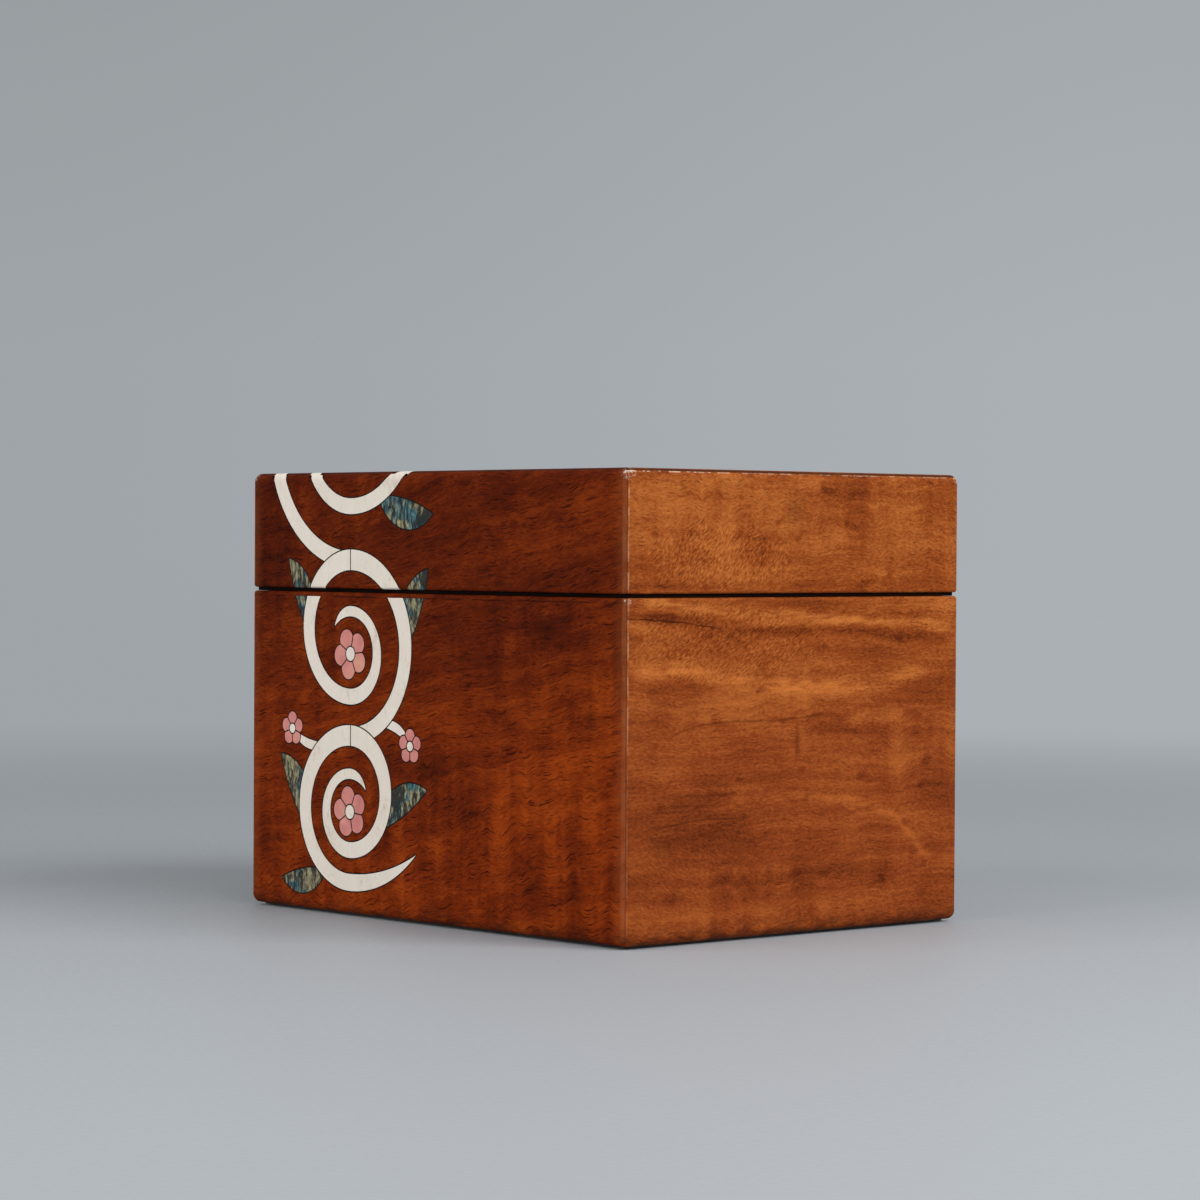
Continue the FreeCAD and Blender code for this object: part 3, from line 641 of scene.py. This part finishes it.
def pearl():
    """Warm white nacre with faint clouds."""
    s = Surface("pearl")
    lay = s.vector("ADD", s.point, (12, 4, 8))
    clouds = s.noise(s.shrunk(lay, 8, 8, 11), 3, 0.55, 0.6)
    layers = s.noise(s.shrunk(lay, 2.5, 4, 5), 3, 0.6, 1.5)
    tone = s.total(s.times(clouds, 0.6), s.times(layers, 0.4))
    colour = s.colours(tone, (0.25, (0.56, 0.45, 0.35)), (0.42, (0.76, 0.67, 0.57)),
                       (0.75, (0.82, 0.74, 0.65)))
    return s.finish(Base_Color=colour, Roughness=s.between(layers, 0.3, 0.7, 0.26, 0.4),
                    Normal=s.bump(layers, 0.02), Specular_IOR_Level=0.4)


def pink_shell():
    """Pink shell that pales here and there."""
    s = Surface("pink_shell")
    lay = s.vector("ADD", s.point, (6, 14, 2))
    clouds = s.noise(s.shrunk(lay, 7, 7, 7), 2, 0.5, 0.5)
    layers = s.noise(s.shrunk(lay, 1.5, 3, 3), 3, 0.6, 1.0)
    tone = s.total(s.times(clouds, 0.75), s.times(layers, 0.25))
    colour = s.colours(tone, (0.3, (0.52, 0.165, 0.145)), (0.5, (0.62, 0.22, 0.19)),
                       (0.72, (0.68, 0.33, 0.22)))
    return s.finish(Base_Color=colour, Roughness=s.between(layers, 0.3, 0.7, 0.28, 0.42),
                    Normal=s.bump(layers, 0.02), Specular_IOR_Level=0.4)


def abalone():
    """Olive and grey nacre with patches of teal and blue, under ragged black veins."""
    s = Surface("abalone")
    lay = s.vector("ADD", s.point, (2, 9, 5))
    x, y, z = s.split(lay)
    bend = s.swing(s.shrunk(lay, 7, 7, 7), 5, 2)
    streaks = s.noise(s.join(s.times(s.total(x, bend), 0.85), s.times(y, 0.2), s.times(z, 0.2)), 4, 0.65)
    mottle = s.noise(s.shrunk(lay, 1.1, 1.1, 2.2), 3, 0.6)
    nacre = s.colours(mottle, (0.3, (0.070, 0.058, 0.034)), (0.48, (0.21, 0.18, 0.105)),
                      (0.62, (0.34, 0.31, 0.150)), (0.78, (0.50, 0.47, 0.34)))
    sea = s.colours(mottle, (0.3, (0.006, 0.022, 0.036)), (0.48, (0.028, 0.098, 0.110)),
                    (0.62, (0.085, 0.200, 0.200)), (0.78, (0.300, 0.400, 0.380)))
    pools = s.between(s.noise(s.shrunk(lay, 6, 6, 6), 2, 0.5, 0.8), 0.47, 0.6)
    colour = s.blend(pools, nacre, sea)
    dim = s.between(s.noise(s.shrunk(lay, 10, 10, 10), 1), 0.46, 0.3)
    veins = s.between(s.maths("SUBTRACT", streaks, s.times(dim, 0.14)), 0.53, 0.44)
    colour = s.blend(s.times(veins, 0.94), colour, (0.005, 0.006, 0.006))
    return s.finish(Base_Color=colour, Roughness=s.between(streaks, 0.3, 0.7, 0.36, 0.24),
                    Normal=s.bump(streaks, 0.02), Specular_IOR_Level=0.35)


def mastic():
    """The nearly black filler round the shell."""
    s = Surface("mastic")
    grit = s.noise(s.shrunk(s.point, 0.4, 0.4, 0.4), 3)
    colour = s.colours(grit, (0.3, (0.003, 0.0015, 0.001)), (0.7, (0.014, 0.006, 0.003)))
    return s.finish(Base_Color=colour, Roughness=s.between(grit, 0.3, 0.7, 0.5, 0.7),
                    Normal=s.bump(grit, 0.02), Specular_IOR_Level=0.1)


def brass():
    """Brushed brass with brown stains."""
    s = Surface("brass")
    stains = s.noise(s.shrunk(s.point, 5, 5, 3), 4, 0.6)
    brushed = s.noise(s.shrunk(s.point, 6, 0.15, 0.15), 2)
    colour = s.colours(stains, (0.32, (0.36, 0.20, 0.06)), (0.5, (0.70, 0.45, 0.15)),
                       (0.7, (0.82, 0.58, 0.24)))
    rough = s.total(s.between(stains, 0.3, 0.7, 0.45, 0.24), s.times(brushed, 0.08))
    return s.finish(Base_Color=colour, Metallic=1.0, Roughness=rough, Normal=s.bump(brushed, 0.01))


# Felt and velvet

def felt():
    """Black felt with a fuzzy surface."""
    s = Surface("felt")
    fuzz = s.noise(s.shrunk(s.point, 0.35, 0.35, 0.35), 4, 0.7)
    mats = s.noise(s.shrunk(s.point, 6, 6, 6), 2)
    tone = s.total(s.times(fuzz, 0.7), s.times(mats, 0.3))
    colour = s.colours(tone, (0.3, (0.006, 0.006, 0.006)), (0.7, (0.030, 0.028, 0.026)))
    return s.finish(Base_Color=colour, Roughness=s.between(fuzz, 0.2, 0.8, 0.85, 1.0),
                    Normal=s.bump(fuzz, 0.12), Sheen_Weight=0.25, Sheen_Roughness=0.6)


def velvet():
    """Wine red velvet whose pile lies now one way and now the other."""
    s = Surface("velvet")
    pile = s.noise(s.shrunk(s.point, 0.28, 0.28, 0.28), 3, 0.7)
    brushed = s.noise(s.shrunk(s.point, 34, 16, 20), 3, 0.55, 0.8)
    tone = s.total(s.times(pile, 0.35), s.times(brushed, 0.65))
    colour = s.colours(tone, (0.32, (0.062, 0.004, 0.007)), (0.5, (0.130, 0.009, 0.014)),
                       (0.7, (0.220, 0.020, 0.028)))
    return s.finish(Base_Color=colour, Roughness=s.between(brushed, 0.3, 0.7, 0.95, 0.75),
                    Normal=s.bump(pile, 0.1), Sheen_Weight=0.35, Sheen_Roughness=0.35,
                    Sheen_Tint=(0.85, 0.18, 0.18, 1.0), Specular_IOR_Level=0.08)


LOOKS = {
    "plain_wood": plain_wood(),
    "pearl": pearl(),
    "pink_shell": pink_shell(),
    "abalone": abalone(),
    "mastic": mastic(),
    "brass": brass(),
    "felt": felt(),
    "velvet": velvet(),
}

slot_of = {part["node"]: part["material_slot"] for part in frame["record"]["subparts"]}
for name, thing in nodes.items():
    look = BOARDS.get(name) or LOOKS[slot_of[name]]
    thing.data.materials.clear()
    thing.data.materials.append(look)


# Felt under the box and velvet pads inside it

# Felt: cell size, wandering edge, nap and rim, with patterns in waves per metre
EDGE_PATTERN = 90
NAP_PATTERN = 700
FELT_STEP = 2.0 * MM
FELT_WANDER = 0.35 * MM
FELT_NAP = 0.06 * MM
FELT_RIM_LIFT = 0.18 * MM
FELT_RIM_DROP = 0.15 * MM
RIM_SHARE = 0.999

# Pads: cell size, sides pulled in, sideways limit, and shares of the thickness at the start and to rise
PAD_STEP = 2.5 * MM
PAD_PULL = 0.9 * MM
PAD_SLIDE = 0.3 * MM
PAD_START = 0.5
PAD_ROOM = 0.48
PAD_PRESSURE = 3.0
PAD_FRAMES = 14


def sheet_mesh(name, low, high, step):
    """A closed thin block of square cells, with its top points listed before its bottom points."""
    count_x = round((high.x - low.x) / step)
    count_y = round((high.y - low.y) / step)
    points = []
    for level in (high.z, low.z):
        for row in range(count_y + 1):
            for column in range(count_x + 1):
                across = low.x + (high.x - low.x) * column / count_x
                deep = low.y + (high.y - low.y) * row / count_y
                points.append(Vector((across, deep, level)))
    wide = count_x + 1
    layer = wide * (count_y + 1)
    faces = []
    for row in range(count_y):
        for column in range(count_x):
            first = row * wide + column
            cell = (first, first + 1, first + wide + 1, first + wide)
            faces.append(cell)
            faces.append(tuple(layer + corner for corner in reversed(cell)))
    rim = list(range(wide))
    rim += [row * wide + count_x for row in range(1, count_y + 1)]
    rim += [count_y * wide + column for column in range(count_x - 1, -1, -1)]
    rim += [row * wide for row in range(count_y - 1, 0, -1)]
    for here, there in zip(rim, rim[1:] + rim[:1]):
        faces.append((here, layer + here, layer + there, there))
    mesh = bpy.data.meshes.new(name)
    mesh.from_pydata(points, [], faces)
    for face in mesh.polygons:
        face.use_smooth = True
    return mesh, layer


def add_piece(name, mesh, look, body, node):
    """A new piece that rides on a body and stands for a node."""
    piece = bpy.data.objects.new(name, mesh)
    scene.collection.objects.link(piece)
    mesh.materials.append(look)
    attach(piece, body)
    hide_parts(node)
    return piece


def add_felt():
    """The felt, cut by hand, so that its edges wander a little, with a soft nap."""
    low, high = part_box("base_felt")
    mesh, layer = sheet_mesh("felt_sheet", low, high, FELT_STEP)
    middle = (low + high) / 2
    half = (high - low) / 2
    for index, vertex in enumerate(mesh.vertices):
        place = vertex.co.copy()
        out_x = abs(place.x - middle.x) / half.x
        out_y = abs(place.y - middle.y) / half.y
        wander = FELT_WANDER * (1 + noise.noise(place * EDGE_PATTERN))
        if out_x > RIM_SHARE:
            vertex.co.x -= math.copysign(wander, place.x)
        if out_y > RIM_SHARE:
            vertex.co.y -= math.copysign(wander, place.y)
        at_rim = max(out_x, out_y) > RIM_SHARE
        nap = FELT_NAP * (1 + noise.noise(place * NAP_PATTERN))
        if index >= layer:
            vertex.co.z = low.z + nap + (FELT_RIM_LIFT if at_rim else 0)
        elif at_rim:
            vertex.co.z = high.z - FELT_RIM_DROP
    felt_sheet = add_piece("felt_sheet", mesh, LOOKS["felt"], "box", "base_felt")


def swollen(mesh, glued, pressure, frames):
    """Let a closed cloth swell under pressure, with the glued points held, and read its points."""
    trial = bpy.data.objects.new("swelling", mesh.copy())
    scene.collection.objects.link(trial)
    held = trial.vertex_groups.new(name="glued")
    held.add(glued, 1.0, "REPLACE")
    cloth = trial.modifiers.new("cloth", "CLOTH")
    cloth.settings.quality = 6
    cloth.settings.mass = 0.15
    cloth.settings.tension_stiffness = 20
    cloth.settings.compression_stiffness = 20
    cloth.settings.bending_stiffness = 2
    cloth.settings.use_pressure = True
    cloth.settings.uniform_pressure_force = pressure
    cloth.settings.vertex_group_mass = "glued"
    cloth.settings.effector_weights.gravity = 0
    for number in range(1, frames + 1):
        scene.frame_set(number)
    ready = trial.evaluated_get(bpy.context.evaluated_depsgraph_get())
    points = [vertex.co.copy() for vertex in ready.data.vertices]
    scene.frame_set(1)
    bpy.data.objects.remove(trial)
    return points


def add_pad(name, node, body, crown):
    """A thin velvet pad glued down on one side and swollen on the other; crown is 1 up or -1 down."""
    low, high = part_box(node)
    thick = high.z - low.z
    start_low = low.copy()
    start_high = high.copy()
    if crown > 0:
        start_high.z -= PAD_START * thick
    else:
        start_low.z += PAD_START * thick
    mesh, layer = sheet_mesh(name, start_low, start_high, PAD_STEP)
    middle = (low + high) / 2
    half = (high - low) / 2
    for vertex in mesh.vertices:
        part_x = (vertex.co.x - middle.x) / half.x
        part_y = (vertex.co.y - middle.y) / half.y
        pull_x = PAD_PULL * math.cos(part_y * math.pi / 2) * part_x
        pull_y = PAD_PULL * math.cos(part_x * math.pi / 2) * part_y
        vertex.co.x -= pull_x
        vertex.co.y -= pull_y
    count = len(mesh.vertices)
    free = range(layer) if crown > 0 else range(layer, count)
    glued = sorted(set(range(count)) - set(free))
    start = [vertex.co.copy() for vertex in mesh.vertices]
    room = PAD_ROOM * thick
    for index, place in enumerate(swollen(mesh, glued, PAD_PRESSURE, PAD_FRAMES)):
        step = place - start[index]
        rise = crown * step.z
        mesh.vertices[index].co = start[index] + Vector((
            max(-PAD_SLIDE, min(PAD_SLIDE, step.x)),
            max(-PAD_SLIDE, min(PAD_SLIDE, step.y)),
            crown * room * math.tanh(max(rise, 0) / room),
        ))
    piece = add_piece(name, mesh, LOOKS["velvet"], body, node)
    smooth = piece.modifiers.new("smooth", "SUBSURF")
    smooth.levels = 1
    smooth.render_levels = 1


add_felt()
add_pad("floor_pad", "floor_lining", "box", 1)
add_pad("lid_pad", "lid_lining", "lid", -1)


# Floor, light and camera

# Floor and distance: colours, level directions away from the eye and to its right, and reaches
FLOOR_COLOUR = (0.361, 0.382, 0.402)
# painted shade: the floor behind the box is darker, for the foot of the backdrop in shade
SHADED_FAR_FLOOR_COLOUR = (0.328, 0.350, 0.369)
# painted light: the distance is lighter to the right and dimmer above
LEFT_COLOUR = (0.350, 0.374, 0.394)
RIGHT_COLOUR = (0.408, 0.435, 0.458)
BACKWARD = (-0.7489, 0.6625, 0.0)
RIGHTWARD = (0.6625, 0.7489, 0.0)
BACK_WIDTH = 0.17
DIM_HEIGHTS = (0.05, 0.15)
DIM_SHARE = 0.91
FLOOR_RADIUS = 30
FLOOR_SIDES = 96
SHADED_FAR_FLOOR_STARTS = (-20, 170)
FADE_REACH = (350, 1250)

# Even light of the room
ROOM_COLOUR = (0.96, 0.98, 1.0, 1.0)
ROOM_STRENGTH = 0.45

# Lamps: name, place in metres, power in watts and width in metres
LAMPS = (
    ("key", (1.3, 0.4, 1.0), 22, 1.0),
    ("side", (1.5, -0.7, 0.9), 10, 1.2),
    ("fill", (-0.3, -1.6, 0.8), 15, 1.4),
)
LAMP_AIM = (0, 0, 65 * MM)

# The camera, fitted to the corners of the box
EYE = (0.8364, -0.7393, 0.1091)
YAW = math.radians(-48.511)
PITCH = math.radians(-0.838)
ROLL = math.radians(0.317)
SENSOR = 36
LENS = 112.995


def seen_directly(tree):
    """One for a ray from the eye, or by way of a mirror or glass, and else nought."""
    path = tree.nodes.new("ShaderNodeLightPath")
    total = path.outputs["Is Camera Ray"]
    for name in ("Is Glossy Ray", "Is Transmission Ray"):
        either = tree.nodes.new("ShaderNodeMath")
        either.operation = "MAXIMUM"
        tree.links.new(total, either.inputs[0])
        tree.links.new(path.outputs[name], either.inputs[1])
        total = either.outputs[0]
    return total


def back_colour(tree, way):
    """The colour of the distance, with painted light: brighter to the right and dimmer above."""
    along = tree.nodes.new("ShaderNodeVectorMath")
    along.operation = "DOT_PRODUCT"
    along.inputs[1].default_value = RIGHTWARD
    tree.links.new(way, along.inputs[0])
    share = tree.nodes.new("ShaderNodeMapRange")
    share.interpolation_type = "SMOOTHSTEP"
    share.inputs["From Min"].default_value = -BACK_WIDTH
    share.inputs["From Max"].default_value = BACK_WIDTH
    tree.links.new(along.outputs["Value"], share.inputs["Value"])
    mixed = tree.nodes.new("ShaderNodeMix")
    mixed.data_type = "RGBA"
    mixed.inputs[MIX_FIRST].default_value = opaque(LEFT_COLOUR)
    mixed.inputs[MIX_SECOND].default_value = opaque(RIGHT_COLOUR)
    tree.links.new(share.outputs[0], mixed.inputs["Factor"])
    height = tree.nodes.new("ShaderNodeSeparateXYZ")
    tree.links.new(way, height.inputs[0])
    dimmed = tree.nodes.new("ShaderNodeMapRange")
    for socket, number in zip(list(dimmed.inputs)[1:5], (*DIM_HEIGHTS, 1.0, DIM_SHARE)):
        socket.default_value = number
    tree.links.new(height.outputs["Z"], dimmed.inputs["Value"])
    scaled = tree.nodes.new("ShaderNodeVectorMath")
    scaled.operation = "SCALE"
    tree.links.new(mixed.outputs[MIX_RESULT], scaled.inputs[0])
    tree.links.new(dimmed.outputs[0], scaled.inputs["Scale"])
    return scaled.outputs[0]


def floor_look():
    """A plain floor, painted darker behind the box as shade, that turns into the distance's colour far
    away.
    """
    s = Surface("studio_floor")
    reach = s.vector("LENGTH", s.point)
    behind = s.vector("DOT_PRODUCT", s.point, BACKWARD)
    grain = s.noise(s.shrunk(s.point, 2, 2, 2), 2)
    # painted shade: the floor turns darker behind the box
    colour = s.blend(s.between(behind, *SHADED_FAR_FLOOR_STARTS), FLOOR_COLOUR, SHADED_FAR_FLOOR_COLOUR)
    s.finish(Base_Color=colour, Roughness=s.between(grain, 0.3, 0.7, 0.5, 0.6), Specular_IOR_Level=0.3)
    far = s.add("ShaderNodeEmission")
    s.put(far.inputs["Color"], back_colour(s.tree, s.vector("NORMALIZE", s.point)))
    share = s.times(s.between(reach, *FADE_REACH), seen_directly(s.tree))
    mixed = s.add("ShaderNodeMixShader")
    s.put(mixed.inputs[0], share)
    s.put(mixed.inputs[1], s.shader.outputs[0])
    s.put(mixed.inputs[2], far.outputs[0])
    s.put(s.output.inputs["Surface"], mixed.outputs[0])
    return s.material


def add_floor():
    """A round floor much wider than the view."""
    mesh = bpy.data.meshes.new("studio_floor")
    shape = bmesh.new()
    bmesh.ops.create_circle(shape, cap_ends=True, segments=FLOOR_SIDES, radius=FLOOR_RADIUS)
    shape.to_mesh(mesh)
    shape.free()
    floor = bpy.data.objects.new("studio_floor", mesh)
    scene.collection.objects.link(floor)
    mesh.materials.append(floor_look())


def add_world():
    """The distance as it is seen, and an even light from all round."""
    world = bpy.data.worlds.new("studio")
    scene.world = world
    world.use_nodes = True
    tree = world.node_tree
    shown = tree.nodes["Background"]
    way = tree.nodes.new("ShaderNodeTexCoord").outputs["Generated"]
    tree.links.new(back_colour(tree, way), shown.inputs["Color"])
    shown.inputs["Strength"].default_value = 1
    room = tree.nodes.new("ShaderNodeBackground")
    room.inputs["Color"].default_value = ROOM_COLOUR
    room.inputs["Strength"].default_value = ROOM_STRENGTH
    mixed = tree.nodes.new("ShaderNodeMixShader")
    tree.links.new(seen_directly(tree), mixed.inputs[0])
    tree.links.new(room.outputs[0], mixed.inputs[1])
    tree.links.new(shown.outputs[0], mixed.inputs[2])
    tree.links.new(mixed.outputs[0], tree.nodes["World Output"].inputs["Surface"])


def add_lamp(name, place, power, width):
    """A square soft box that looks at the middle of the object."""
    lamp = bpy.data.lights.new(name, "AREA")
    lamp.energy = power
    lamp.size = width
    thing = bpy.data.objects.new(name, lamp)
    thing.location = place
    thing.rotation_euler = (Vector(LAMP_AIM) - Vector(place)).to_track_quat("-Z", "Y").to_euler()
    scene.collection.objects.link(thing)


def add_camera():
    """The eye stands a little lower than the top and looks at the corner of front and right."""
    ahead = Vector((math.sin(YAW) * math.cos(PITCH), math.cos(YAW) * math.cos(PITCH), math.sin(PITCH)))
    level = Vector((math.cos(YAW), -math.sin(YAW), 0))
    upright = level.cross(ahead)
    right = level * math.cos(ROLL) + upright * math.sin(ROLL)
    up = upright * math.cos(ROLL) - level * math.sin(ROLL)
    camera = bpy.data.objects.new("camera", bpy.data.cameras.new("camera"))
    camera.data.sensor_width = SENSOR
    camera.data.lens = LENS
    turn = Matrix((right, up, -ahead)).transposed().to_4x4()
    camera.matrix_world = Matrix.Translation(EYE) @ turn
    scene.collection.objects.link(camera)
    scene.camera = camera


scene.view_settings.view_transform = "Standard"
add_floor()
add_world()
for lamp in LAMPS:
    add_lamp(*lamp)
add_camera()
